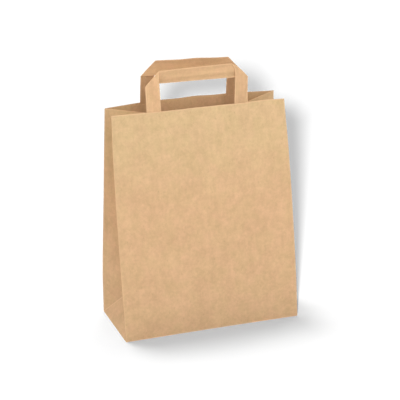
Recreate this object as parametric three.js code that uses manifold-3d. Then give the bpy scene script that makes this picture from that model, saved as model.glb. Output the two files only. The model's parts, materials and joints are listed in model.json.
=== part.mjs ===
// Small kraft paper carrier bag with two flat paper tape handles, standing nearly closed.
// Millimetres, +Z up. The front panel faces -Y, and the origin is in the middle of the foot.
import * as THREE from 'three';
import { mergeVertices } from 'three/addons/utils/BufferGeometryUtils.js';
import Module from 'manifold-3d';

const wasm = await Module();
wasm.setup();

// The sheet and the bag that is folded from it
const paper = 0.2; // thickness of the kraft
const bagWidth = 220; // across the front panel
const bagDepth = 100; // front to rear at the foot
const bagHeight = 275; // foot to rim, along the paper
const bottomOverlap = 20; // front bottom flap over the rear one
const gluePress = 0.03; // glued layers are pressed together by this much

// How the bag stands: square at the foot and nearly closed at the rim
const frontCreasePull = 5; // the front panel's flat-packing crease lies behind the front edge
const frontRimY = -14.3;
const rearRimY = 20.7;
const rimSkew = 6.3; // the rim's right end lies further back than its left end
const rearRimBow = 8; // the rear rim bulges back
const rearBowPeak = 0.44; // where across the rear rim the bulge is deepest, from the left
const creaseNose = 0.8; // half width of the gusset's rounded centre fold

// The handles, folded from a flat tape, and the strips glued over their ends
const tapeWidth = 17.5;
const tapeThickness = 0.5;
const handleSpan = 129; // over the outer edges of the legs
const handleRise = 48.5; // rim to the top of the bar
const handleTail = 36; // tape glued below the rim
const frontHandleShift = -1.9; // the middle of the front handle from the middle of the bag
const frontHandleLean = 6.5; // the bar lies this far behind the rim
const rearHandleShift = 0.9;
const rearHandleLean = -9.4;
const rearHandleTilt = -2.6; // the bar's right end over its middle
const patchWidth = 150;
const patchHeight = 38;
const patchInset = 2; // rim to the upper edge of the patch
const patchRamp = 3; // width of the step where the patch rides up over a leg
const clearance = 0.3; // left between separate pieces
const flapClimb = 3; // run of a bottom flap's slope for each layer that it climbs

// How finely the curved paper is divided
const panelColumns = 12;
const lowerRows = 3;
const upperRows = 8;
const barColumns = 8;
const legRows = 10;
const patchStep = 12;

const kraft = { color: 0xd9b389, roughness: 0.88, metalness: 0 };
const tapeKraft = { color: 0xdcb38a, roughness: 0.85, metalness: 0 };

const creaseHeight = bagDepth / 2; // the flat-packing crease and the gusset's apex lie this high on the paper
const flapLength = bagDepth / 2 + bottomOverlap / 2;
const { lerp } = THREE.MathUtils;

// Solids from sheets

function toSolid(geometry) {
  const bare = geometry.clone();
  bare.deleteAttribute('normal');
  bare.deleteAttribute('uv');
  const merged = mergeVertices(bare, 1e-4);
  return new wasm.Manifold(new wasm.Mesh({
    numProp: 3,
    vertProperties: Float32Array.from(merged.attributes.position.array),
    triVerts: Uint32Array.from(merged.index.array),
  }));
}

function toGeometry(solid) {
  const { vertProperties, triVerts } = solid.getMesh();
  const geometry = new THREE.BufferGeometry();
  geometry.setAttribute('position', new THREE.BufferAttribute(vertProperties, 3));
  geometry.setIndex(new THREE.BufferAttribute(triVerts, 1));
  geometry.computeVertexNormals();
  return geometry;
}

function union(solids) {
  return solids.reduce((whole, solid) => whole.add(solid));
}

// Triangles of a grid of points whose rows run up and whose columns run left to right as seen from outside
function gridFaces(grid, closed) {
  const columns = grid[0].length;
  const positions = grid.flat().flatMap((point) => point.toArray());
  const faces = [];
  for (let row = 0; row + 1 < grid.length; row += 1) {
    for (let column = 0; column < (closed ? columns : columns - 1); column += 1) {
      const next = (column + 1) % columns;
      const a = row * columns + column;
      const b = row * columns + next;
      const c = b + columns;
      const d = a + columns;
      faces.push(a, b, c, a, c, d);
    }
  }
  const geometry = new THREE.BufferGeometry();
  geometry.setAttribute('position', new THREE.Float32BufferAttribute(positions, 3));
  geometry.setIndex(faces);
  return mergeVertices(geometry, 1e-4);
}

// A sheet of even thickness behind a grid of points on its outer face
function sheetSolid(grid, thickness, closed = false) {
  const skin = gridFaces(grid, closed);
  const count = skin.attributes.position.count;
  const outer = [];
  for (let i = 0; i < count; i += 1) {
    outer.push(new THREE.Vector3().fromBufferAttribute(skin.attributes.position, i));
  }
  const triangles = [];
  const normals = outer.map(() => []);
  for (let i = 0; i < skin.index.count; i += 3) {
    const corner = [0, 1, 2].map((k) => skin.index.getX(i + k));
    const triangle = new THREE.Triangle(...corner.map((k) => outer[k]));
    if (new Set(corner).size === 3 && triangle.getArea() > 1e-6) {
      triangles.push(corner);
      const normal = triangle.getNormal(new THREE.Vector3());
      corner.forEach((k) => normals[k].push(normal));
    }
  }
  const inner = outer.map((point, k) => point.clone().sub(mitre(normals[k], thickness)));
  const floor = Math.min(...outer.map((point) => point.z));
  inner.forEach((point) => {
    point.z = Math.max(point.z, floor);
  });

  const edges = new Map();
  triangles.forEach(([a, b, c]) => {
    [[a, b], [b, c], [c, a]].forEach(([from, to]) => edges.set(`${from},${to}`, [from, to]));
  });
  const index = triangles.flatMap(([a, b, c]) => [a, b, c, a + count, c + count, b + count]);
  edges.forEach(([from, to]) => {
    if (!edges.has(`${to},${from}`)) {
      index.push(to, from, from + count, to, from + count, to + count);
    }
  });
  const geometry = new THREE.BufferGeometry();
  const positions = [...outer, ...inner].flatMap((point) => point.toArray());
  geometry.setAttribute('position', new THREE.Float32BufferAttribute(positions, 3));
  geometry.setIndex(index);
  return toSolid(geometry);
}

// The step from a corner of the outer face to the same corner of the inner face
function mitre(normals, thickness) {
  const middle = new THREE.Vector3();
  normals.forEach((normal) => middle.add(normal));
  middle.normalize();
  const lean = Math.min(...normals.map((normal) => middle.dot(normal)));
  return middle.multiplyScalar(thickness / Math.max(lean, 0.15));
}

// Bag walls. A side is -1 on the left and 1 on the right, and a height is measured along the paper.

function frontEdge(side, height) {
  const creaseY = -bagDepth / 2 + frontCreasePull;
  const creaseZ = Math.sqrt(creaseHeight ** 2 - frontCreasePull ** 2);
  if (height <= creaseHeight) {
    const share = height / creaseHeight;
    return new THREE.Vector3(side * bagWidth / 2, lerp(-bagDepth / 2, creaseY, share), creaseZ * share);
  }
  const upper = bagHeight - creaseHeight;
  const rimY = frontRimY + side * rimSkew / 2;
  const share = (height - creaseHeight) / upper;
  const upperZ = Math.sqrt(upper ** 2 - (rimY - creaseY) ** 2);
  return new THREE.Vector3(side * bagWidth / 2, lerp(creaseY, rimY, share), creaseZ + upperZ * share);
}

function rearEdge(side, height) {
  const rimY = rearRimY + side * rimSkew / 2;
  const rimZ = Math.sqrt(bagHeight ** 2 - (bagDepth / 2 - rimY) ** 2);
  const share = height / bagHeight;
  return new THREE.Vector3(side * bagWidth / 2, lerp(bagDepth / 2, rimY, share), rimZ * share);
}

function frontPanel(x, height) {
  const across = x / bagWidth + 0.5;
  return frontEdge(-1, height).lerp(frontEdge(1, height), across);
}

function rearPanel(x, height) {
  const across = x / bagWidth + 0.5;
  const point = rearEdge(-1, height).lerp(rearEdge(1, height), across);
  const spread = across ** (Math.log(0.5) / Math.log(rearBowPeak));
  point.y += rearRimBow * Math.sin(Math.PI * spread) * (height / bagHeight) ** 2;
  return point;
}

// The gusset's centre fold: its apex is the top of the foot's triangle, and it runs up to just below the rim
function gussetFold(side, height) {
  const front = frontEdge(side, height);
  const rear = rearEdge(side, height);
  const reach = Math.sqrt((bagDepth / 2) ** 2 - ((rear.y - front.y) / 2) ** 2);
  const middleY = (front.y + rear.y) / 2;
  return new THREE.Vector3(side * (bagWidth / 2 - reach), middleY, (front.z + rear.z) / 2 - apexDrop(side));
}

function apexDrop(side) {
  const front = frontEdge(side, creaseHeight);
  const rear = rearEdge(side, creaseHeight);
  const half = (rear.y - front.y) / 2;
  const reachSquared = (bagDepth / 2) ** 2 - half ** 2;
  const apexZ = Math.sqrt(2 * creaseHeight ** 2 - reachSquared - (bagDepth / 2) ** 2);
  return (front.z + rear.z) / 2 - apexZ;
}

// One of the two points beside the centre fold. Below the apex they part along the sides of the foot's triangle.
function foldSide(edge, side, height) {
  const level = Math.max(height, creaseHeight);
  const fold = gussetFold(side, level);
  const toEdge = edge(side, level).sub(fold).normalize();
  const beside = fold.addScaledVector(toEdge, creaseNose);
  return edge(side, 0).lerp(beside, Math.min(height / creaseHeight, 1));
}

function wallRow(height) {
  const row = [];
  for (let k = 0; k <= panelColumns; k += 1) {
    row.push(frontPanel(lerp(-bagWidth / 2, bagWidth / 2, k / panelColumns), height));
  }
  row.push(foldSide(frontEdge, 1, height), foldSide(rearEdge, 1, height));
  for (let k = 0; k <= panelColumns; k += 1) {
    row.push(rearPanel(lerp(bagWidth / 2, -bagWidth / 2, k / panelColumns), height));
  }
  row.push(foldSide(rearEdge, -1, height), foldSide(frontEdge, -1, height));
  return row;
}

function bagWalls() {
  const rows = [];
  for (let k = 0; k < lowerRows; k += 1) {
    rows.push(wallRow(creaseHeight * k / lowerRows));
  }
  for (let k = 0; k <= upperRows; k += 1) {
    rows.push(wallRow(lerp(creaseHeight, bagHeight, k / upperRows)));
  }
  return sheetSolid(rows, paper, true);
}

// Block bottom: both long flaps have 45 degree sides, the front one lies lowest, and the ends lie on top

function plate(outline, lowZ, highZ) {
  const shape = new THREE.Shape(outline.map(([x, y]) => new THREE.Vector2(x, y)));
  const geometry = new THREE.ExtrudeGeometry(shape, { depth: highZ - lowZ, bevelEnabled: false });
  return toSolid(geometry.translate(0, 0, lowZ));
}

function flapOutline(facing) {
  const foldY = facing * bagDepth / 2;
  const freeY = foldY - facing * flapLength;
  const half = bagWidth / 2;
  return [[-half, foldY], [half, foldY], [half - flapLength, freeY], [flapLength - half, freeY]];
}

// A flap that lies flat on the ground and climbs over what is glued under its free end.
// Its profile is drawn as distance from its fold against height.
function climbingFlap(climbStart, climbEnd, length, lift, width) {
  const profile = new THREE.Shape([
    [0, 0], [climbStart, 0], [climbEnd, lift], [length, lift],
    [length, lift + paper], [climbEnd, lift + paper], [climbStart, paper], [0, paper],
  ].map(([x, y]) => new THREE.Vector2(x, y)));
  const geometry = new THREE.ExtrudeGeometry(profile, { depth: width, bevelEnabled: false });
  return geometry.rotateX(Math.PI / 2).translate(0, width / 2, 0);
}

function bagBottom() {
  const layer = paper - gluePress;
  const stackTop = 4 * paper;
  const reachToOverlap = flapLength - bottomOverlap;
  const frontFlap = plate(flapOutline(-1), 0, paper);
  const rearFlap = toSolid(climbingFlap(reachToOverlap - flapClimb, reachToOverlap, flapLength, layer, bagWidth)
    .rotateZ(-Math.PI / 2).translate(0, bagDepth / 2, 0));
  const rearTrimmed = rearFlap.intersect(plate(flapOutline(1), -paper, stackTop));
  const pieces = [frontFlap, rearTrimmed];
  [-1, 1].forEach((side) => {
    const end = side * bagWidth / 2;
    const inner = end - side * flapLength;
    [-1, 1].forEach((facing) => {
      const edgeY = facing * bagDepth / 2;
      const cornerFold = [[end, edgeY], [inner, edgeY], [inner, edgeY - facing * flapLength]];
      pieces.push(plate(cornerFold, layer, layer + paper));
    });
    const endFlap = climbingFlap(0, 2 * flapClimb, flapLength, 2 * layer, bagDepth);
    const turned = side < 0 ? endFlap : endFlap.rotateZ(Math.PI);
    pieces.push(toSolid(turned.translate(end, 0, 0)));
  });
  return union(pieces);
}

// Handles. A place on a handle is given by its distance from the handle's middle and its height over the rim.

const frontHandle = {
  panel: frontPanel, inward: 1, shift: frontHandleShift, lean: frontHandleLean, bend: 1, tilt: 0,
};
const rearHandle = {
  panel: rearPanel, inward: -1, shift: rearHandleShift, lean: rearHandleLean, bend: 1.5, tilt: rearHandleTilt,
};

// A bend of 1 leaves the handle flat, and a larger one lets it leave the rim upright before it leans
function handlePoint(handle, across, height, depth) {
  const point = handle.panel(handle.shift + across, bagHeight + Math.min(height, 0));
  const rise = Math.max(height, 0);
  const share = rise / handleRise;
  point.y += handle.inward * (paper + clearance + depth) + handle.lean * share ** handle.bend;
  point.z += rise + handle.tilt * share * across / (handleSpan / 2);
  return point;
}

// Columns run left to right as seen from the outer side
function facingGrid(handle, rows) {
  return rows.map((row) => (handle.inward > 0 ? row : [...row].reverse()));
}

function handleLeg(handle, side) {
  const outerEdge = side * handleSpan / 2;
  const innerEdge = outerEdge - side * tapeWidth;
  const edges = side < 0 ? [outerEdge, innerEdge] : [innerEdge, outerEdge];
  const rows = [];
  for (let k = 0; k <= legRows; k += 1) {
    rows.push(edges.map((across) => {
      const top = across === outerEdge ? handleRise - tapeWidth : handleRise;
      return handlePoint(handle, across, lerp(-handleTail, top, k / legRows), 0);
    }));
  }
  return sheetSolid(facingGrid(handle, rows), tapeThickness);
}

function handleBar(handle) {
  const lowerHalf = handleSpan / 2;
  const upperHalf = lowerHalf - tapeWidth;
  const depth = tapeThickness - gluePress;
  const rows = [[handleRise - tapeWidth, lowerHalf], [handleRise, upperHalf]].map(([height, half]) => {
    const row = [];
    for (let k = 0; k <= barColumns; k += 1) {
      row.push(handlePoint(handle, lerp(-half, half, k / barColumns), height, depth));
    }
    return row;
  });
  return sheetSolid(facingGrid(handle, rows), tapeThickness);
}

function handleSolid(handle) {
  return union([handleLeg(handle, -1), handleLeg(handle, 1), handleBar(handle)]);
}

// The patch lies on the panel and rides up over both legs
function patchSolid(handle) {
  const half = patchWidth / 2;
  const outer = handleSpan / 2 + clearance;
  const inner = handleSpan / 2 - tapeWidth - clearance;
  const lift = tapeThickness + clearance;
  const stations = [
    [-half, 0], [-outer - patchRamp, 0], [-outer, lift], [-inner, lift], [-inner + patchRamp, 0],
    [inner - patchRamp, 0], [inner, lift], [outer, lift], [outer + patchRamp, 0], [half, 0],
  ];
  const columns = [stations[0]];
  stations.slice(1).forEach(([across, depth], k) => {
    const [fromAcross, fromDepth] = stations[k];
    const steps = Math.ceil((across - fromAcross) / patchStep);
    for (let step = 1; step <= steps; step += 1) {
      columns.push([lerp(fromAcross, across, step / steps), lerp(fromDepth, depth, step / steps)]);
    }
  });
  const rows = [-patchInset - patchHeight, -patchInset - patchHeight / 2, -patchInset]
    .map((height) => columns.map(([across, depth]) => handlePoint(handle, across, height, depth)));
  return sheetSolid(facingGrid(handle, rows), paper);
}

// Assembly

const bag = new THREE.Group();

function addPiece(name, solid, finish) {
  const piece = new THREE.Mesh(toGeometry(solid), new THREE.MeshStandardMaterial(finish));
  piece.name = name;
  bag.add(piece);
}

addPiece('bag_body', union([bagWalls(), bagBottom()]), kraft);
addPiece('front_handle', handleSolid(frontHandle), tapeKraft);
addPiece('rear_handle', handleSolid(rearHandle), tapeKraft);
addPiece('front_handle_patch', patchSolid(frontHandle), kraft);
addPiece('rear_handle_patch', patchSolid(rearHandle), kraft);

export default bag;
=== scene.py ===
"""Kraft paper carrier bag with two flat paper tape handles, on a white floor under soft light."""
import json
import math

import bmesh
import bpy
from bpy.props import FloatProperty, FloatVectorProperty, PointerProperty
from mathutils import Matrix, Vector, noise

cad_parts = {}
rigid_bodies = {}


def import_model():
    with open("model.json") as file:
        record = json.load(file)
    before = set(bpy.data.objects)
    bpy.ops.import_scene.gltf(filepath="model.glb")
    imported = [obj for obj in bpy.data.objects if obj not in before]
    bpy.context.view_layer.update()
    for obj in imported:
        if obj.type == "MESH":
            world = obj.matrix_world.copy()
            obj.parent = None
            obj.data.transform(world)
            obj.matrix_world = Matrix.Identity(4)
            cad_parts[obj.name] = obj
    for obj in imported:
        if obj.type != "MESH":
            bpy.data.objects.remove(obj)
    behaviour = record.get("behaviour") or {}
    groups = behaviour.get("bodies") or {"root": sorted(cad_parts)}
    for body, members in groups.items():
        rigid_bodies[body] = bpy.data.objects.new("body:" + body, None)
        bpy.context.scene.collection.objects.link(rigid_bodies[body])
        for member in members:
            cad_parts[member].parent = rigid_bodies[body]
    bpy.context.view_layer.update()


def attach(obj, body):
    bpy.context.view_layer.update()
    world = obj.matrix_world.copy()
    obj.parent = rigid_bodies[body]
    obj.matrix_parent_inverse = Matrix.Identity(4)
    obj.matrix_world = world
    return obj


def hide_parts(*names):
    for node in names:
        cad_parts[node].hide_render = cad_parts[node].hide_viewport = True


bl_info = {
    "name": "Kraft Carrier Bag",
    "version": (1, 0, 0),
    "blender": (4, 5, 0),
    "location": "3D View > Sidebar > Bag",
    "description": "Folds a kraft paper carrier bag with flat tape handles around its packed solids",
    "category": "Object",
}

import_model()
MM = 0.001

FRONT, REAR = -1, 1
LEFT, RIGHT = -1, 1
FACES = ((FRONT, "front"), (REAR, "rear"))
TINY = 1e-6  # a distance below it counts as none

# How the bag stands
CREASE_PULL = 5 * MM  # the front panel's flat-packing crease lies behind the front edge
RIM_SKEW = 6.3 * MM  # the rim's right end lies further back than its left end
REAR_BOW = 8 * MM  # the rear rim bulges back
BOW_PEAK = 0.44  # where across the rear rim the bulge is deepest, from the left

# How the soft paper strays from its flat folds
FOOT_HOLLOW = 0.8 * MM  # the front edge of the foot is drawn in at its middle
REAR_ARCH = 1.1 * MM  # the rear rim stands up between its corners
FOLD_FORWARD = 5 * MM  # the right gusset's fold leans to the front panel at the rim
TUCK = 1.8 * MM  # the gusset dives behind the upper edges of the foot's triangle
TUCK_RISE = 3 * MM  # over the triangle's edge, the tuck is whole at this height
TUCK_FADE = (8 * MM, 40 * MM)  # and between these heights it fades out
TUCK_CORNER = 12 * MM  # it is whole this far from the upright edges
PRESSED = 0.25 * MM  # the glued legs of the handles press through the panels
PRESSED_RUN = 2 * MM  # height of the step at a leg's end
# Soft waves of the panels: share of the cockle, length across and up, and place and step in the noise
PANEL_WAVES = ((1.0, 75 * MM, 130 * MM, 0.0, 5.3), (0.4, 31 * MM, 52 * MM, 2.1, 4.7))
# Soft wave of the gussets: the same without a place, and the height over which it builds up
GUSSET_WAVE = (0.8, 40 * MM, 70 * MM, 9.1, 40 * MM)
# Waves of the front rim: how far back, where across and how wide
FRONT_RIM_WAVES = ((4.8 * MM, 87 * MM, 17 * MM), (-2.6 * MM, -44 * MM, 30 * MM))
# Ripple of the rear rim: its depth, length and turn, and the middle and reach of its stretch
REAR_RIPPLE = (1.8 * MM, 8.5 * MM, 0.6, 6 * MM, 40 * MM)
# How far each upright edge stands out sideways in millimetres, at even steps from the foot to the rim
EDGE_BOW = {
    (FRONT, LEFT): (1.8, 2.4, 2.9, 3.05, 2.75, 1.5),
    (FRONT, RIGHT): (1.8, 1.9, 2.0, 1.5, 0.3, -2.0),
    (REAR, LEFT): (1.8, 3.0, 2.5, 1.65, 1.1, 0.4),
    (REAR, RIGHT): (1.8, 2.2, 2.0, 1.4, 0.6, -1.0),
}
# How far each corner of the rim strays backwards and upwards, in millimetres
RIM_STRAY = {
    (FRONT, LEFT): (2.8, 0.3),
    (FRONT, RIGHT): (1.3, -0.8),
    (REAR, LEFT): (-0.3, 1.1),
    (REAR, RIGHT): (2.3, -1.0),
}

# The sheet's grid: one step fits the width, the depth, the foot's triangles and the bottom flaps
STEP = 2.5 * MM
UPPER_STEP = 5 * MM
LAYER = 0.22 * MM  # one layer of glued paper over another
CLIMB = 3 * MM  # run of a bottom flap's slope where it climbs over another
SMOOTH_ANGLE = math.radians(35)

# How the handles stand
GLUE_GAP = 0.3 * MM
HANDLE_SHIFT = {FRONT: -1.9 * MM, REAR: 0.9 * MM}  # the handle's middle, from the panel's
HANDLE_LEAN = {FRONT: 6.5 * MM, REAR: -9.4 * MM}  # how far the bar stands behind the rim
HANDLE_BEND = {FRONT: 1.0, REAR: 1.5}  # how late the legs lean: 1 is straight
HANDLE_TILT = {FRONT: 0.5 * MM, REAR: -2.4 * MM}  # the bar's right end, above its middle
HANDLE_LIFT = {FRONT: -1.2 * MM, REAR: 1.4 * MM}  # the whole bar, above its even height
LEG_TURN = math.radians(8)  # the front handle's right leg is turned a little
LEG_LEAN = 4 * MM  # and leans to the right
LEG_BEND = (-8 * MM, 20 * MM)  # the heights over the rim between which it turns
LEAN_FADE = 10 * MM  # the lean fades out over this height below the bar's top
LEAN_START = 20 * MM  # and starts this far to the right of the handle's middle
CORNER_LIFT = 1.2 * MM  # the rear handle's left corner stands higher
# How far each bar's lower edge swings in, at its left and right end
BAR_TURN = {FRONT: (math.radians(22), math.radians(4)), REAR: (math.radians(14), math.radians(3))}
BAR_TURN_RUN = 11 * MM  # length of the twist beside the diagonal fold
NOSE = 0.51 * MM  # radius of the tape's diagonal folds
NOSE_CUTS = (-1, -0.67, -0.33, 0, 0.33, 0.67, 1)  # across the bend, from its middle to its ends
SEAM = 4.4 * MM  # the tape's own lengthwise seam, from one edge
SEAM_HALF = 0.1 * MM  # half of the seam's width
SEAM_STEP = 0.12 * MM  # and its height
TAPE_STEP = 5 * MM  # the grid of the tapes and patches
TAPE_EDGE = 0.5 * MM
PATCH_RAMP = 3 * MM  # width of the step where a patch rides up over a leg
PATCH_ROWS = 8


def smooth(value, low, high):
    """0 below low, 1 above high and a soft slope between them."""
    share = min(max((value - low) / (high - low), 0.0), 1.0)
    return share * share * (3 - 2 * share)


def mix(low, high, share):
    return low + (high - low) * share


def along_curve(stations, share):
    """A soft curve through evenly spaced values."""
    place = min(max(share, 0.0), 1.0) * (len(stations) - 1)
    start = min(int(place), len(stations) - 2)
    last = len(stations) - 1
    before, low, high, after = (stations[min(max(start + k, 0), last)] for k in (-1, 0, 1, 2))
    t = place - start
    low_slope, high_slope = (high - before) / 2, (after - low) / 2
    bend = 2 * low - 2 * high + low_slope + high_slope
    return low + t * (low_slope + t * (3 * (high - low) - 2 * low_slope - high_slope + t * bend))


# Settings of the panel


class BagSizes(bpy.types.PropertyGroup):
    """Sizes of the folded sheet"""

    width: FloatProperty(name="Width", description="Across the front panel", default=0.22, unit="LENGTH")
    depth: FloatProperty(name="Depth", description="Front to rear at the foot", default=0.1, unit="LENGTH")
    height: FloatProperty(
        name="Height", description="Foot to rim, along the paper", default=0.275, unit="LENGTH")
    paper: FloatProperty(name="Paper", description="Thickness of the kraft", default=0.0002, unit="LENGTH")
    overlap: FloatProperty(
        name="Bottom overlap", description="Front bottom flap over the rear one",
        default=0.02, unit="LENGTH")
    front_rim: FloatProperty(
        name="Front rim", description="Where the middle of the front rim stands",
        default=-0.0143, unit="LENGTH")
    rear_rim: FloatProperty(
        name="Rear rim", description="Where the ends of the rear rim stand", default=0.0207, unit="LENGTH")
    cockle: FloatProperty(
        name="Cockle", description="Height of the soft waves in the panels", default=0.0008, unit="LENGTH")


class HandleSizes(bpy.types.PropertyGroup):
    """Sizes of the tape handles and of the strips glued over their ends"""

    tape: FloatProperty(name="Tape", description="Width of the tape", default=0.0175, unit="LENGTH")
    thickness: FloatProperty(
        name="Thickness", description="Thickness of the folded tape", default=0.0005, unit="LENGTH")
    span: FloatProperty(
        name="Span", description="Over the outer edges of the legs", default=0.129, unit="LENGTH")
    rise: FloatProperty(name="Rise", description="Rim to the top of the bar", default=0.0485, unit="LENGTH")
    tail: FloatProperty(name="Tail", description="Tape glued below the rim", default=0.036, unit="LENGTH")
    patch_width: FloatProperty(
        name="Patch width", description="Length of the strip over the tails", default=0.15, unit="LENGTH")
    patch_height: FloatProperty(
        name="Patch height", description="Height of the strip over the tails", default=0.038, unit="LENGTH")
    patch_inset: FloatProperty(
        name="Patch inset", description="Rim to the strip's upper edge", default=0.002, unit="LENGTH")


class PaperColours(bpy.types.PropertyGroup):
    """Colours of the papers"""

    kraft: FloatVectorProperty(
        name="Kraft", description="The sheet's middle tone", subtype="COLOR",
        min=0, max=1, default=(0.694, 0.444, 0.246))
    tape: FloatVectorProperty(
        name="Tape", description="The handles' middle tone", subtype="COLOR",
        min=0, max=1, default=(0.716, 0.451, 0.246))
    patch: FloatVectorProperty(
        name="Patch", description="The patches' middle tone", subtype="COLOR",
        min=0, max=1, default=(0.777, 0.505, 0.281))


class StageSettings(bpy.types.PropertyGroup):
    """Light and floor"""

    sky: FloatProperty(name="Sky", description="Strength of the white surroundings", default=0.66)
    floor: FloatProperty(name="Floor", description="How pale the floor is under the light", default=0.06)
    flash: FloatProperty(
        name="Flash", description="Power of the lamp beside the camera", default=2200.0, unit="POWER")


# Where the paper lies


def edge_point(face, side, height):
    """A point on one of the bag's four upright edges, by its height along the paper."""
    sizes = bpy.context.scene.bag_sizes
    foot_y = face * sizes.depth / 2
    share = height / sizes.height
    x = side * (sizes.width / 2 + along_curve(EDGE_BOW[face, side], share) * MM)
    stray = Vector((0, *RIM_STRAY[face, side])) * share * MM
    if face == REAR:
        rim_y = sizes.rear_rim + side * RIM_SKEW / 2
        rim_z = math.sqrt(sizes.height ** 2 - (foot_y - rim_y) ** 2)
        return Vector((x, mix(foot_y, rim_y, share), rim_z * share)) + stray
    crease = sizes.depth / 2
    crease_y = foot_y + CREASE_PULL
    crease_z = math.sqrt(crease ** 2 - CREASE_PULL ** 2)
    if height <= crease:
        share = height / crease
        return Vector((x, mix(foot_y, crease_y, share), crease_z * share)) + stray
    upper = sizes.height - crease
    rim_y = sizes.front_rim + side * RIM_SKEW / 2
    share = (height - crease) / upper
    upper_z = math.sqrt(upper ** 2 - (rim_y - crease_y) ** 2)
    return Vector((x, mix(crease_y, rim_y, share), crease_z + upper_z * share)) + stray


def panel_wave(face, x, height):
    """How far the soft sheet stands behind its flat shape."""
    sizes = bpy.context.scene.bag_sizes
    handles = bpy.context.scene.bag_handles
    across = x / sizes.width + 0.5
    share = height / sizes.height
    held = math.sin(math.pi * min(max(across, 0), 1)) ** 0.5 * smooth(share, 0, 0.25)
    wave = 0
    for part, wide, tall, place, step in PANEL_WAVES:
        wave += part * noise.noise(Vector((x / wide, height / tall, place + step * face)))
    offset = sizes.cockle * held * wave
    rim = smooth(share, 0.5, 1.0) * held
    if face == REAR:
        spread = across ** (math.log(0.5) / math.log(BOW_PEAK))
        offset += REAR_BOW * math.sin(math.pi * spread) * share ** 2
        depth, length, turn, middle, reach = REAR_RIPPLE
        offset += rim * depth * math.sin(x / length + turn) * bump(x, middle, reach)
    else:
        offset += rim * sum(depth * bump(x, middle, reach) for depth, middle, reach in FRONT_RIM_WAVES)
        offset += foot_hollow(x) * (1 - smooth(share, 0, 1))
    tail_end = sizes.height - handles.tail
    tail = smooth(height, tail_end - PRESSED_RUN, tail_end)
    leg = abs(x - HANDLE_SHIFT[face])
    outer = handles.span / 2
    inner = outer - handles.tape
    pressed = smooth(leg, inner - STEP, inner) * (1 - smooth(leg, outer, outer + STEP))
    return offset + face * PRESSED * tail * pressed


def foot_hollow(x):
    """How far the front edge of the foot is drawn in."""
    return FOOT_HOLLOW * (1 - (2 * x / bpy.context.scene.bag_sizes.width) ** 2)


def bump(x, centre, reach):
    """A soft hill of height 1."""
    return math.exp(-((x - centre) / reach) ** 2)


def panel_point(face, x, height):
    """A point of the front or rear panel, by its place across and its height along the paper."""
    sizes = bpy.context.scene.bag_sizes
    point = edge_point(face, LEFT, height).lerp(edge_point(face, RIGHT, height), x / sizes.width + 0.5)
    point.y += panel_wave(face, x, height)
    if face == REAR:
        share = height / sizes.height
        point.z += REAR_ARCH * smooth(1 - abs(2 * x / sizes.width), 0, 0.5) * share ** 3
    return point


def gusset_fold(side, height):
    """The gusset's centre fold, from the top of the foot's triangle to just below the rim."""
    sizes = bpy.context.scene.bag_sizes
    half = sizes.depth / 2
    front, rear = edge_point(FRONT, side, height), edge_point(REAR, side, height)
    reach = math.sqrt(half ** 2 - ((rear.y - front.y) / 2) ** 2)
    low_front, low_rear = edge_point(FRONT, side, half), edge_point(REAR, side, half)
    drop = (low_front.z + low_rear.z - (low_rear.y - low_front.y)) / 2
    middle = (front + rear) / 2
    forward = FOLD_FORWARD * (height / sizes.height) ** 3 if side == RIGHT else 0
    return middle - Vector((side * reach, forward, drop))


def gusset_point(side, y, height):
    """A point of the gusset, by its place y on the unfolded side."""
    half = bpy.context.scene.bag_sizes.depth / 2
    point = flat_gusset_point(side, y, height)
    above = height - (half - abs(y))
    tucked = smooth(above, 0, TUCK_RISE) * (1 - smooth(above, *TUCK_FADE))
    point.x -= side * TUCK * tucked * smooth(half - abs(y), 0, TUCK_CORNER)
    return point


def flat_gusset_point(side, y, height):
    """The same point before the soft paper tucks in above the foot's triangle."""
    sizes = bpy.context.scene.bag_sizes
    half = sizes.depth / 2
    face = FRONT if y < 0 else REAR
    foot = edge_point(face, side, 0)
    apex = gusset_fold(side, half)
    if height >= half:
        share = abs(y) / half
        point = gusset_fold(side, height).lerp(edge_point(face, side, height), share)
        part, wide, tall, step, start = GUSSET_WAVE
        held = math.sin(math.pi * share) * smooth(height, half, half + start)
        point.y += sizes.cockle * part * held * noise.noise(Vector((y / wide, height / tall, step * side)))
        return point
    if height <= half - abs(y):  # the foot's triangle
        up = height / half
        base_y = 0 if up >= 1 else y / half / (1 - up)
        return foot.lerp(edge_point(-face, side, 0), (1 - abs(base_y)) / 2).lerp(apex, up)
    top = edge_point(face, side, half)
    towards_apex = (half - abs(y)) / half
    towards_top = height / half - towards_apex
    return foot + (apex - foot) * towards_apex + (top - foot) * towards_top


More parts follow.
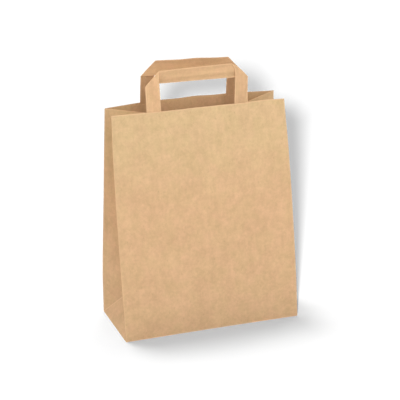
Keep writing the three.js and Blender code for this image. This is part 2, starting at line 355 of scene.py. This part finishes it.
def flap_point(x, y, depth_below):
    """A point of the bottom, by its place on the tube that hung below the foot before it was folded."""
    sizes = bpy.context.scene.bag_sizes
    half_width, half_depth = sizes.width / 2, sizes.depth / 2
    overlap = sizes.overlap / 2
    lift = smooth(depth_below, 0, STEP)
    side = RIGHT if x > 0 else LEFT
    wider = 1 + along_curve(EDGE_BOW[FRONT if y < 0 else REAR, side], 0) * MM / half_width
    on_panel = abs(abs(y) - half_depth) < TINY
    on_end = abs(abs(x) - half_width) < TINY
    if not on_panel or (on_end and depth_below > TINY):
        over = smooth(-abs(y), -overlap - CLIMB, -overlap)
        under = 0.97 if on_panel else 1  # the fold itself lies a little lower
        height = LAYER * lift * (2 * under + 2 * over)
        return Vector((side * (half_width - depth_below) * wider, y, height))
    face = FRONT if y < 0 else REAR
    past_fold = abs(x) - (half_width - depth_below)
    if past_fold <= TINY:
        place = Vector((x, face * (half_depth - depth_below), 0))
    else:
        place = Vector((side * (half_width - depth_below), face * (half_depth - half_width + abs(x)), 0))
    climb = 2 * smooth(-place.y, -overlap - CLIMB, -overlap) if face == REAR else 0
    if face == FRONT:
        place.y += foot_hollow(x) * (1 - smooth(depth_below, 0, half_depth))
    turned = smooth(past_fold, -TINY, STEP) if past_fold > -TINY else 0
    if abs(past_fold) <= TINY:
        turned = 0.5
    place.x *= wider
    place.z = lift * (LAYER * climb + turned * (LAYER + sizes.paper))
    return place


def sheet_point(flat):
    """Lays a point of the upright tube where the bag's paper stands."""
    sizes = bpy.context.scene.bag_sizes
    if flat.z < -TINY:
        return flap_point(flat.x, flat.y, -flat.z)
    if abs(abs(flat.y) - sizes.depth / 2) < TINY:
        return panel_point(FRONT if flat.y < 0 else REAR, flat.x, flat.z)
    return gusset_point(RIGHT if flat.x > 0 else LEFT, flat.y, flat.z)


def handle_point(face, across, height, depth):
    """A point on a handle or its patch, by its distance from the handle's middle, its height over the rim
    and its depth behind the panel."""
    sizes = bpy.context.scene.bag_sizes
    handles = bpy.context.scene.bag_handles
    point = panel_point(face, HANDLE_SHIFT[face] + across, sizes.height + min(height, 0))
    share = max(height, 0) / handles.rise
    rise = max(height, 0) + HANDLE_LIFT[face] * share
    outer = handles.span / 2
    inner = outer - handles.tape
    if face == FRONT:
        leaning = smooth(handles.rise - height, 0, LEAN_FADE) * smooth(across, LEAN_START, inner)
        point.x += LEG_LEAN * share * leaning
        point.y += math.tan(LEG_TURN) * max(across - inner, 0) * smooth(height, *LEG_BEND)
    else:
        point.z += CORNER_LIFT * share * smooth(-across, inner, outer)
    point.y += -face * (sizes.paper + GLUE_GAP + depth) + HANDLE_LEAN[face] * share ** HANDLE_BEND[face]
    point.z += rise + HANDLE_TILT[face] * share * across / outer
    return point


# Steps of modelling


def begin(name, add, low, high):
    """Adds a primitive of the given size and place, with its place in its mesh."""
    bpy.ops.object.select_all(action="DESELECT")
    low, high = Vector(low), Vector(high)
    add(size=1, location=(low + high) / 2)
    piece = bpy.context.object
    piece.name = name
    piece.data.name = name
    piece.scale = high - low
    bpy.ops.object.transform_apply(location=True, rotation=True, scale=True)
    bpy.ops.object.mode_set(mode="EDIT")
    return piece


def pick(piece, kind, test):
    """Selects the faces or edges whose middle passes the test, which is given the middle and the part."""
    bpy.ops.mesh.select_mode(type=kind)
    bpy.ops.mesh.select_all(action="DESELECT")
    mesh = bmesh.from_edit_mesh(piece.data)
    for part in (mesh.faces if kind == "FACE" else mesh.edges):
        middle = sum((corner.co for corner in part.verts), Vector()) / len(part.verts)
        if test(middle, part):
            part.select_set(True)
    bmesh.update_edit_mesh(piece.data)


def cut(piece, place, normal, test=None):
    """Cuts the faces that pass the test along a plane."""
    pick(piece, "FACE", test or (lambda middle, face: True))
    bpy.ops.mesh.bisect(plane_co=place, plane_no=normal)


def divide(piece, axis, pieces, test):
    """Divides the edges that run along an axis and pass the test."""
    def runs_along(middle, edge):
        run = edge.verts[1].co - edge.verts[0].co
        return abs(run[axis]) > 0.99 * run.length and test(middle)
    pick(piece, "EDGE", runs_along)
    bpy.ops.mesh.subdivide(number_cuts=pieces - 1)


def lay(piece, place):
    """Keeps each point's flat place for the material, and moves it to where the paper lies."""
    bpy.ops.object.mode_set(mode="OBJECT")
    mesh = piece.data
    flat = mesh.attributes.new("flat", "FLOAT_VECTOR", "POINT")
    for vertex in mesh.vertices:
        flat.data[vertex.index].vector = vertex.co
        vertex.co = place(vertex.co.copy())
    mesh.update()


def finish_sheet(piece, thickness):
    """Gives the sheet its thickness, marks its inner side and shades its curves soft."""
    bpy.ops.object.select_all(action="DESELECT")
    piece.select_set(True)
    bpy.context.view_layer.objects.active = piece
    solid = piece.modifiers.new("thickness", "SOLIDIFY")
    solid.thickness = thickness
    solid.offset = -1
    solid.use_even_offset = False
    outer = len(piece.data.vertices)
    bpy.ops.object.modifier_apply(modifier=solid.name)
    inner = piece.data.attributes.new("inner", "FLOAT", "POINT")
    for vertex in piece.data.vertices[outer:]:
        inner.data[vertex.index].value = 1.0
    bpy.ops.object.shade_smooth_by_angle(angle=SMOOTH_ANGLE)


def place_piece(piece, material, node):
    """Gives the piece its paper and puts it in place of the solid that it stands for."""
    piece.data.materials.clear()
    piece.data.materials.append(material)
    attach(piece, "root")
    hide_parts(node)


# Materials

MIX_LOW, MIX_HIGH, MIX_RESULT = 6, 7, 2  # the colour sockets of a Mix node


class Value:
    """A number among the nodes. Python's operators add Math nodes to it."""

    def __init__(self, nodes, socket):
        self.nodes = nodes
        self.socket = socket

    def __add__(self, other):
        return self.nodes.math("ADD", self, other)

    def __sub__(self, other):
        return self.nodes.math("SUBTRACT", self, other)

    def __rsub__(self, other):
        return self.nodes.math("SUBTRACT", other, self)

    def __mul__(self, other):
        return self.nodes.math("MULTIPLY", self, other)

    def __truediv__(self, other):
        return self.nodes.math("DIVIDE", self, other)

    def __abs__(self):
        return self.nodes.math("ABSOLUTE", self)

    __radd__ = __add__
    __rmul__ = __mul__


class Nodes:
    """The nodes of a material, a lamp or the surroundings."""

    def __init__(self, owner):
        owner.use_nodes = True
        self.tree = owner.node_tree

    def node(self, kind, settings=None, inputs=None):
        """Adds a node, with its settings first and then what its sockets hold."""
        made = self.tree.nodes.new(kind)
        for name, value in (settings or {}).items():
            setattr(made, name, value)
        for name, value in (inputs or {}).items():
            self.feed(made.inputs[name], value)
        return made

    def feed(self, socket, value):
        """Links a value to a socket, or sets it there."""
        if isinstance(value, Value):
            self.tree.links.new(value.socket, socket)
        elif isinstance(value, bpy.types.NodeSocket):
            self.tree.links.new(value, socket)
        else:
            socket.default_value = value

    def math(self, operation, *numbers):
        made = self.node("ShaderNodeMath", {"operation": operation}, dict(enumerate(numbers)))
        return Value(self, made.outputs[0])


class Paint(Nodes):
    """A material with one shader, and the patterns that feed it."""

    def __init__(self, name):
        self.material = bpy.data.materials.new(name)
        super().__init__(self.material)
        self.tree.nodes.clear()
        self.shader = self.node("ShaderNodeBsdfPrincipled")
        self.node("ShaderNodeOutputMaterial", None, {"Surface": self.shader.outputs[0]})

    def clamp(self, value, low, high):
        """0 at low, 1 at high, and never outside them."""
        made = self.node("ShaderNodeMapRange", {"interpolation_type": "SMOOTHSTEP"},
                         {"Value": value, "From Min": low, "From Max": high})
        return Value(self, made.outputs[0])

    def noise(self, place, scale, detail, roughness):
        made = self.node("ShaderNodeTexNoise", {"noise_dimensions": "3D"},
                         {"Vector": place, "Scale": scale, "Detail": detail, "Roughness": roughness})
        return Value(self, made.outputs["Fac"])

    def stretched(self, place, scale):
        made = self.node("ShaderNodeVectorMath", {"operation": "MULTIPLY"}, {0: place, 1: scale})
        return made.outputs[0]

    def blend(self, share, low, high, kind="MIX"):
        """Mixes two colours."""
        settings = {"data_type": "RGBA", "blend_type": kind}
        made = self.node("ShaderNodeMix", settings, {"Factor": share, MIX_LOW: low, MIX_HIGH: high})
        return made.outputs[MIX_RESULT]

    def times(self, colour, factors):
        """Multiplies a colour by a constant one."""
        return self.blend(1.0, colour, (*factors, 1), "MULTIPLY")

    def parts(self, vector):
        made = self.node("ShaderNodeSeparateXYZ", None, {0: vector})
        return [Value(self, made.outputs[k]) for k in range(3)]


def tone(colour, factor, warmth=0.0):
    """A colour made lighter or darker, and warmer or cooler."""
    factors = (factor * (1 + warmth), factor, factor * (1 - warmth))
    return (*(min(part * by, 1) for part, by in zip(colour, factors)), 1)


# Patterns in the paper: scale, detail and roughness
LARGE_CLOUDS = (38, 3, 0.55)
MIDDLE_CLOUDS = (120, 2, 0.55)
SMALL_CLOUDS = (300, 2, 0.6)
HUE_CLOUDS = (55, 2, 0.5)
TOOTH = (900, 2, 0.6)
STREAKS = (1, 3, 0.6)
FIBRES = (1, 2, 0.6)
SPECKS = (0.5, 1, 0.5)
# How fine the streaks and fibres are across and along the grain
STREAK_GRAIN = (150.0, 22.0)
FIBRE_GRAIN = (1500.0, 420.0)
# Tones against the middle one, as factor and warmth
DARK_TONE = (0.84, 0.02)
LIGHT_TONE = (1.14, -0.012)
SPECK_TONE = (0.62, 0.06)
# painted highlight where folds and edges catch the light, with some scuffing
HIGHLIGHT_AND_SCUFF_TONE = (1.2, -0.03)
# The paper's hue wanders between these factors
REDDER = (1.012, 0.994, 1.004, 1)
GREENER = (0.992, 1.006, 0.982, 1)
INNER_PAINTED_LIGHT = 1.12  # painted light: the bag's inner side is painted this much lighter than its outer side
# Painted light and shade along a paper: the axis on the flat paper, where it starts and ends, and the tone
# at its end
# painted light: the kraft is painted lighter and yellower towards the rim
KRAFT_TOP_PAINTED_LIGHT = (2, 0.14, 0.26, (0.99, 1.07, 1.05))
# painted shade: the tape's later end, the front handle's right leg and the rear handle's left leg, is
# painted darker
TAPE_END_PAINTED_SHADE = (1, 0.15, 0.25, (0.87, 0.87, 0.87))
# Distances from a fold or edge between which the painted highlight, with its scuffing, fades out
HIGHLIGHT_AND_SCUFF_FOLD = (0.2 * MM, 1.8 * MM)
HIGHLIGHT_AND_SCUFF_CORNER = (0.2 * MM, 1.6 * MM)
HIGHLIGHT_AND_SCUFF_TAPE = (0.2 * MM, 1.4 * MM)
OFF_PANEL = (0.1 * MM, 0.4 * MM)  # the same from a gusset to a panel, which has no diagonal folds


def paper_paint(name, colour, along, folds=None, clouds=0.5, streaks=0.25, painted_light_and_shade=None, inner_painted_light=1.0):
    """Uncoated kraft: soft clouds, streaks along the machine direction, fibres and a fine tooth, with
    painted highlights along folds, a painted lighter inner side and painted light and shade along the paper
    where these are given.
    """
    paint = Paint(name)
    flat = paint.node("ShaderNodeAttribute", {"attribute_name": "flat"}).outputs["Vector"]
    streak_grain = paint.stretched(flat, tuple(STREAK_GRAIN[axis == along] for axis in range(3)))
    fibre_grain = paint.stretched(flat, tuple(FIBRE_GRAIN[axis == along] for axis in range(3)))
    large = paint.noise(flat, *LARGE_CLOUDS)
    middle = paint.noise(flat, *MIDDLE_CLOUDS)
    small = paint.noise(flat, *SMALL_CLOUDS)
    streak = paint.noise(streak_grain, *STREAKS)
    fibre = paint.noise(fibre_grain, *FIBRES)
    grain = paint.noise(flat, *TOOTH)
    shade = 0.5 + clouds * (large - 0.5) + clouds * (middle - 0.5) + 0.9 * clouds * (small - 0.5)
    shade = shade + streaks * (streak - 0.5) + 0.2 * (fibre - 0.5) + 0.3 * (grain - 0.5)
    body = paint.blend(paint.clamp(shade, 0.1, 0.9), tone(colour, *DARK_TONE), tone(colour, *LIGHT_TONE))
    hue = paint.clamp(paint.noise(flat, *HUE_CLOUDS), 0.36, 0.64)
    body = paint.blend(1.0, body, paint.blend(hue, REDDER, GREENER), "MULTIPLY")
    # Painted light: the inner side of the sheet is painted lighter
    if inner_painted_light > 1:
        inner = paint.node("ShaderNodeAttribute", {"attribute_name": "inner"}).outputs["Fac"]
        body = paint.blend(inner, body, paint.times(body, (inner_painted_light, inner_painted_light, inner_painted_light)))
    # Painted light and shade: the tone shifts along one axis of the flat paper
    if painted_light_and_shade:
        axis, start, end, factors = painted_light_and_shade
        share = paint.clamp(paint.parts(flat)[axis], start, end)
        body = paint.blend(share, body, paint.times(body, factors))
    specks = paint.clamp(paint.noise(fibre_grain, *SPECKS), 0.7, 0.78)
    body = paint.blend(specks * 0.35, body, tone(colour, *SPECK_TONE))
    # Painted highlight along folds and edges, with some scuffing
    if folds:
        highlit_and_scuffed = folds(paint, flat)
        body = paint.blend(highlit_and_scuffed * (0.5 + 0.6 * grain), body, tone(colour, *HIGHLIGHT_AND_SCUFF_TONE))
    relief = 0.5 * fibre + 0.35 * grain + 0.5 * small + 0.4 * middle + 0.9 * large
    bumps = paint.node("ShaderNodeBump", None, {"Strength": 0.35, "Distance": 0.6 * MM, "Height": relief})
    paint.feed(paint.shader.inputs["Base Color"], body)
    paint.feed(paint.shader.inputs["Roughness"], 0.84 + 0.14 * small)
    paint.feed(paint.shader.inputs["Normal"], bumps.outputs[0])
    paint.feed(paint.shader.inputs["Specular IOR Level"], 0.3)
    return paint.material


def bag_fold_highlights_and_scuffs(paint, flat):
    """Where the sheet's folds and its rim get a painted highlight, with some scuffing."""
    sizes = bpy.context.scene.bag_sizes
    x, y, height = paint.parts(flat)
    half_width, half_depth = sizes.width / 2, sizes.depth / 2
    corner = paint.math("MAXIMUM", half_width - abs(x), half_depth - abs(y))
    rim = paint.math("MINIMUM", sizes.height - height, abs(height))
    on_panel = paint.clamp(half_width - abs(x), *OFF_PANEL)
    diagonal = abs(height + abs(y) - half_depth) + on_panel
    sharp = 1 - paint.clamp(paint.math("MINIMUM", rim, diagonal), *HIGHLIGHT_AND_SCUFF_FOLD)
    return paint.math("MAXIMUM", sharp, 0.45 * (1 - paint.clamp(corner, *HIGHLIGHT_AND_SCUFF_CORNER)))


def tape_edge_highlights_and_scuffs(paint, flat):
    """Where the tape's long edges and its diagonal folds get a painted highlight, with some scuffing."""
    handles = bpy.context.scene.bag_handles
    corner = handles.tail + handles.rise - handles.tape
    across, along, _ = paint.parts(flat)
    edge = paint.math("MINIMUM", across, handles.tape - across)
    from_end = paint.math("MINIMUM", along, 2 * corner + handles.span - along)
    fold = abs(from_end - across - corner)
    return 1 - paint.clamp(paint.math("MINIMUM", edge, fold), *HIGHLIGHT_AND_SCUFF_TAPE)


# The pieces of the bag


class OBJECT_OT_bag_sheet(bpy.types.Operator):
    """Folds the bag from one tube of kraft"""

    bl_idname = "object.bag_sheet"
    bl_label = "Fold the Bag"

    def execute(self, context):
        sizes = context.scene.bag_sizes
        half_width, half_depth = sizes.width / 2, sizes.depth / 2
        crease = half_depth
        flap = half_depth + sizes.overlap / 2
        sheet = begin("kraft_bag", bpy.ops.mesh.primitive_cube_add,
                      (-half_width, -half_depth, -flap), (half_width, half_depth, sizes.height))
        pick(sheet, "FACE", lambda middle, face: abs(face.normal.z) > 0.9)
        bpy.ops.mesh.delete(type="ONLY_FACE")
        for place, normal in (((0, 0, 0), (0, 0, 1)), ((0, 0, crease), (0, 0, 1)), ((0, 0, 0), (0, 1, 0))):
            cut(sheet, place, normal)
        for low, high, step in ((-flap, 0, STEP), (0, crease, STEP), (crease, sizes.height, UPPER_STEP)):
            divide(sheet, 2, round((high - low) / step), lambda middle: low < middle.z < high)
        divide(sheet, 0, round(sizes.width / STEP), lambda middle: True)
        divide(sheet, 1, round(half_depth / STEP), lambda middle: True)
        for facing in (FRONT, REAR):
            # The foot's triangles in the gussets, and the 45 degree folds beside the bottom flaps
            cut(sheet, (0, facing * half_depth, 0), (0, facing, 1),
                lambda middle, face: abs(face.normal.x) > 0.9 and 0 < middle.z < crease)
            cut(sheet, (facing * half_width, 0, 0), (facing, 0, -1),
                lambda middle, face: abs(face.normal.y) > 0.9 and middle.z < 0)
        lay(sheet, sheet_point)
        finish_sheet(sheet, sizes.paper)
        colour = context.scene.bag_colours.kraft
        paper = paper_paint("kraft_paper", colour, 2, bag_fold_highlights_and_scuffs, painted_light_and_shade=KRAFT_TOP_PAINTED_LIGHT, inner_painted_light=INNER_PAINTED_LIGHT)
        place_piece(sheet, paper, "bag_body")
        return {"FINISHED"}


def tape_point(face, across_tape, along):
    """Folds a point of the straight tape: up one leg, over the diagonal fold and along the bar."""
    handles = bpy.context.scene.bag_handles
    corner = handles.tail + handles.rise - handles.tape
    length = 2 * corner + handles.span
    side = LEFT
    if along > length / 2:
        side = RIGHT
        along = length - along
    beyond = (along - corner - across_tape) / math.sqrt(2)
    level = (along - corner + across_tape) / math.sqrt(2)
    quarter = math.pi / 2 * NOSE
    if abs(beyond) < quarter:
        out = NOSE * math.cos(beyond / NOSE) - quarter
        depth = NOSE * (1 + math.sin(beyond / NOSE))
    else:
        out = -abs(beyond)
        depth = 0 if beyond < 0 else 2 * NOSE
    across = side * (handles.span / 2 - (level - out) / math.sqrt(2))
    height = handles.rise - handles.tape + (level + out) / math.sqrt(2)
    layered = SEAM_STEP * smooth(across_tape, SEAM - SEAM_HALF, SEAM + SEAM_HALF)
    depth += layered if beyond < 0 else -layered
    across *= -face
    if beyond > 0:
        turn = mix(*BAR_TURN[face], across / handles.span + 0.5) * smooth(beyond, 0, BAR_TURN_RUN)
        below = handles.rise - height
        depth += below * math.sin(turn)
        height += below * (1 - math.cos(turn))
    return handle_point(face, across, height, depth)


class OBJECT_OT_bag_handles(bpy.types.Operator):
    """Folds both handles from straight tape"""

    bl_idname = "object.bag_handles"
    bl_label = "Fold the Handles"

    def execute(self, context):
        handles = context.scene.bag_handles
        colour = context.scene.bag_colours.tape
        paper = paper_paint("handle_paper", colour, 1, tape_edge_highlights_and_scuffs,
                            clouds=0.35, streaks=0.9, painted_light_and_shade=TAPE_END_PAINTED_SHADE)
        corner = handles.tail + handles.rise - handles.tape
        length = 2 * corner + handles.span
        for face, name in FACES:
            tape = begin(f"{name}_tape_handle", bpy.ops.mesh.primitive_plane_add,
                         (0, 0, 0), (handles.tape, length, 0))
            for count in range(1, round(length / TAPE_STEP)):
                cut(tape, (0, count * TAPE_STEP, 0), (0, 1, 0))
            seam = (SEAM - SEAM_HALF, SEAM + SEAM_HALF)
            for across in (TAPE_EDGE, *seam, handles.tape / 2, handles.tape - TAPE_EDGE):
                cut(tape, (across, 0, 0), (1, 0, 0))
            for share in NOSE_CUTS:
                offset = share * math.pi / 2 * NOSE * math.sqrt(2)
                cut(tape, (0, corner + offset, 0), (-1, 1, 0))
                cut(tape, (0, length - corner + offset, 0), (1, 1, 0))
            lay(tape, lambda flat: tape_point(face, flat.x, flat.y))
            finish_sheet(tape, handles.thickness - SEAM_STEP)
            place_piece(tape, paper, f"{name}_handle")
        return {"FINISHED"}


class OBJECT_OT_bag_patches(bpy.types.Operator):
    """Glues a strip of kraft over the tails of each handle"""

    bl_idname = "object.bag_patches"
    bl_label = "Glue the Patches"

    def execute(self, context):
        handles = context.scene.bag_handles
        paper = paper_paint("patch_paper", context.scene.bag_colours.patch, 0)
        half = handles.patch_width / 2
        outer = handles.span / 2 + GLUE_GAP
        inner = handles.span / 2 - handles.tape - GLUE_GAP
        top = -handles.patch_inset
        bottom = top - handles.patch_height

        def over_leg(across):
            leg = abs(across)
            return smooth(leg, inner - PATCH_RAMP, inner) * (1 - smooth(leg, outer, outer + PATCH_RAMP))

        for face, name in FACES:
            patch = begin(f"{name}_patch", bpy.ops.mesh.primitive_plane_add,
                          (-half, bottom, 0), (half, top, 0))
            for run in (0, PATCH_RAMP / 2, PATCH_RAMP):
                for station in (inner - run, run - inner, outer + run, -outer - run):
                    cut(patch, (station, 0, 0), (1, 0, 0))
            for count in range(1, round(handles.patch_width / TAPE_STEP)):
                cut(patch, (-half + count * TAPE_STEP, 0, 0), (1, 0, 0))
            for count in range(1, PATCH_ROWS):
                cut(patch, (0, top - handles.patch_height * count / PATCH_ROWS, 0), (0, 1, 0))
            lift = handles.thickness + GLUE_GAP
            lay(patch, lambda flat: handle_point(face, -face * flat.x, flat.y, lift * over_leg(flat.x)))
            finish_sheet(patch, context.scene.bag_sizes.paper)
            place_piece(patch, paper, f"{name}_handle_patch")
        return {"FINISHED"}


# The stage

FLOOR_SIZE = 14
FLOOR_BACK = 2  # the floor's middle lies this far behind the bag
CAMERA_TARGET = Vector((0, 0, 0.15))
CAMERA_AZIMUTH = -19.09
CAMERA_ELEVATION = 19.20
CAMERA_ROLL = -0.68
CAMERA_DISTANCE = 1.716
CAMERA_LENS = 126.0
CAMERA_OFF_AXIS = (1.41 / 400, 0.93 / 400)  # in frame widths

# The lamps that light the bag: name, azimuth, elevation, distance, size and power
BAG_LAMPS = (
    ("key", 5, 25, 1.2, 0.35, 1.35),
    ("left", -20, 35, 1.2, 0.4, 0.8),
    ("top", 0, 84, 1.1, 0.8, 5.2),
    ("rim", -135, 10, 1.2, 0.35, 1.3),
    ("low", 0, 4, 1.2, 0.35, 0.35),
)
# The suns that light the floor: name, azimuth, elevation, angular size and strength
FLOOR_SUNS = (
    ("floor_behind", -162, 71.5, 14, 21.8),
    ("floor_beside", 150, 74, 14, 5.6),
)
SUN_DISTANCE = 2.0
# The lamp beside the camera lights the floor evenly and leaves the bag's soft shadow on it
FLASH_LEFT = 0.062
FLASH_ABOVE = 0.038
FLASH_RADIUS = 0.043


def towards(azimuth, elevation):
    """Direction from the bag, where azimuth 0 is in front of it."""
    turn, lift = math.radians(azimuth), math.radians(elevation)
    return Vector((math.sin(turn) * math.cos(lift), -math.cos(turn) * math.cos(lift), math.sin(lift)))


def hang(context, lamp, azimuth, elevation, distance, lit):
    """Places a lamp so that it shines at the bag and lights only the given objects."""
    holder = bpy.data.objects.new(lamp.name, lamp)
    holder.location = CAMERA_TARGET + towards(azimuth, elevation) * distance
    holder.rotation_euler = towards(azimuth, elevation).to_track_quat("Z", "Y").to_euler()
    holder.light_linking.receiver_collection = lit
    context.scene.collection.objects.link(holder)


def view_axes():
    """The directions to the right, up and back at the camera, before its roll."""
    back = towards(CAMERA_AZIMUTH, CAMERA_ELEVATION)
    turn = math.radians(CAMERA_AZIMUTH)
    right = Vector((math.cos(turn), math.sin(turn), 0))
    return right, back.cross(right), back


def set_surroundings(context):
    """Surrounds the bag with white, which the camera sees at full strength."""
    world = bpy.data.worlds.new("white_room")
    nodes = Nodes(world)
    path = nodes.node("ShaderNodeLightPath")
    strength = nodes.node("ShaderNodeMix", None, {
        "A": context.scene.bag_stage.sky, "B": 1.0, "Factor": path.outputs["Is Camera Ray"]})
    background = nodes.tree.nodes["Background"]
    nodes.feed(background.inputs["Color"], (1, 1, 1, 1))
    nodes.feed(background.inputs["Strength"], strength.outputs[0])
    context.scene.world = world


def set_flash(context, lit):
    """Puts a small lamp beside the camera. Its light is even all along the floor."""
    flash = bpy.data.lights.new("flash", "POINT")
    flash.shadow_soft_size = FLASH_RADIUS
    flash.energy = context.scene.bag_stage.flash
    nodes = Nodes(flash)
    falloff = nodes.node("ShaderNodeLightFalloff", None, {"Strength": 1 / CAMERA_DISTANCE ** 3})
    constant, linear = (Value(nodes, falloff.outputs[name]) for name in ("Constant", "Linear"))
    nodes.feed(nodes.tree.nodes["Emission"].inputs["Strength"], constant * (constant / linear))
    right, up, back = view_axes()
    holder = bpy.data.objects.new("flash", flash)
    holder.location = CAMERA_TARGET + back * CAMERA_DISTANCE - right * FLASH_LEFT + up * FLASH_ABOVE
    holder.light_linking.receiver_collection = lit
    context.scene.collection.objects.link(holder)


def set_camera(context):
    """Puts the camera in front, a little to the left and above."""
    lens = bpy.data.cameras.new("camera")
    lens.lens = CAMERA_LENS
    lens.sensor_fit = "HORIZONTAL"
    lens.sensor_width = 36.0
    lens.shift_x, lens.shift_y = CAMERA_OFF_AXIS
    camera = bpy.data.objects.new("camera", lens)
    context.scene.collection.objects.link(camera)
    right, up, back = view_axes()
    roll = math.radians(CAMERA_ROLL)
    rolled_right = math.cos(roll) * right + math.sin(roll) * up
    rolled_up = math.cos(roll) * up - math.sin(roll) * right
    camera.matrix_world = Matrix((rolled_right, rolled_up, back)).transposed().to_4x4()
    camera.location = CAMERA_TARGET + back * CAMERA_DISTANCE
    context.scene.camera = camera


class OBJECT_OT_bag_stage(bpy.types.Operator):
    """Sets up the white floor, the soft light and the camera"""

    bl_idname = "object.bag_stage"
    bl_label = "Set the Stage"

    def execute(self, context):
        bpy.ops.object.select_all(action="DESELECT")
        bpy.ops.mesh.primitive_plane_add(size=FLOOR_SIZE, location=(0, FLOOR_BACK, 0))
        floor = context.object
        floor.name = "floor"
        paint = Paint("white_floor")
        grey = context.scene.bag_stage.floor
        paint.feed(paint.shader.inputs["Base Color"], (grey, grey, grey, 1))
        paint.feed(paint.shader.inputs["Roughness"], 0.9)
        paint.feed(paint.shader.inputs["Specular IOR Level"], 0.0)
        floor.data.materials.append(paint.material)

        bag = bpy.data.collections.new("lit_bag")
        for piece in bpy.data.objects:
            if piece.type == "MESH" and piece != floor:
                bag.objects.link(piece)
        ground = bpy.data.collections.new("lit_floor")
        ground.objects.link(floor)
        for name, azimuth, elevation, distance, size, power in BAG_LAMPS:
            lamp = bpy.data.lights.new(name, "AREA")
            lamp.shape = "DISK"
            lamp.size = size
            lamp.energy = power
            hang(context, lamp, azimuth, elevation, distance, bag)
        for name, azimuth, elevation, angle, strength in FLOOR_SUNS:
            lamp = bpy.data.lights.new(name, "SUN")
            lamp.angle = math.radians(angle)
            lamp.energy = strength
            hang(context, lamp, azimuth, elevation, SUN_DISTANCE, ground)
        set_surroundings(context)
        set_flash(context, ground)
        set_camera(context)
        context.scene.view_settings.view_transform = "Standard"
        return {"FINISHED"}


class VIEW3D_PT_bag(bpy.types.Panel):
    """Sizes, colours and steps of the bag"""

    bl_idname = "VIEW3D_PT_bag"
    bl_label = "Kraft Carrier Bag"
    bl_space_type = "VIEW_3D"
    bl_region_type = "UI"
    bl_category = "Bag"

    def draw(self, context):
        for group in GROUPS:
            box = self.layout.box()
            box.label(text=GROUPS[group].__doc__)
            settings = getattr(context.scene, group)
            for name in GROUPS[group].__annotations__:
                box.prop(settings, name)
        for operator in OPERATORS:
            self.layout.operator(operator.bl_idname)


GROUPS = {
    "bag_sizes": BagSizes,
    "bag_handles": HandleSizes,
    "bag_colours": PaperColours,
    "bag_stage": StageSettings,
}
OPERATORS = (OBJECT_OT_bag_sheet, OBJECT_OT_bag_handles, OBJECT_OT_bag_patches, OBJECT_OT_bag_stage)
CLASSES = (*GROUPS.values(), *OPERATORS, VIEW3D_PT_bag)


def register():
    for made in CLASSES:
        bpy.utils.register_class(made)
    for name, group in GROUPS.items():
        setattr(bpy.types.Scene, name, PointerProperty(type=group))


def unregister():
    for name in GROUPS:
        delattr(bpy.types.Scene, name)
    for made in reversed(CLASSES):
        bpy.utils.unregister_class(made)


def main():
    register()
    bpy.ops.object.bag_sheet()
    bpy.ops.object.bag_handles()
    bpy.ops.object.bag_patches()
    bpy.ops.object.bag_stage()


if __name__ == "__main__":
    main()
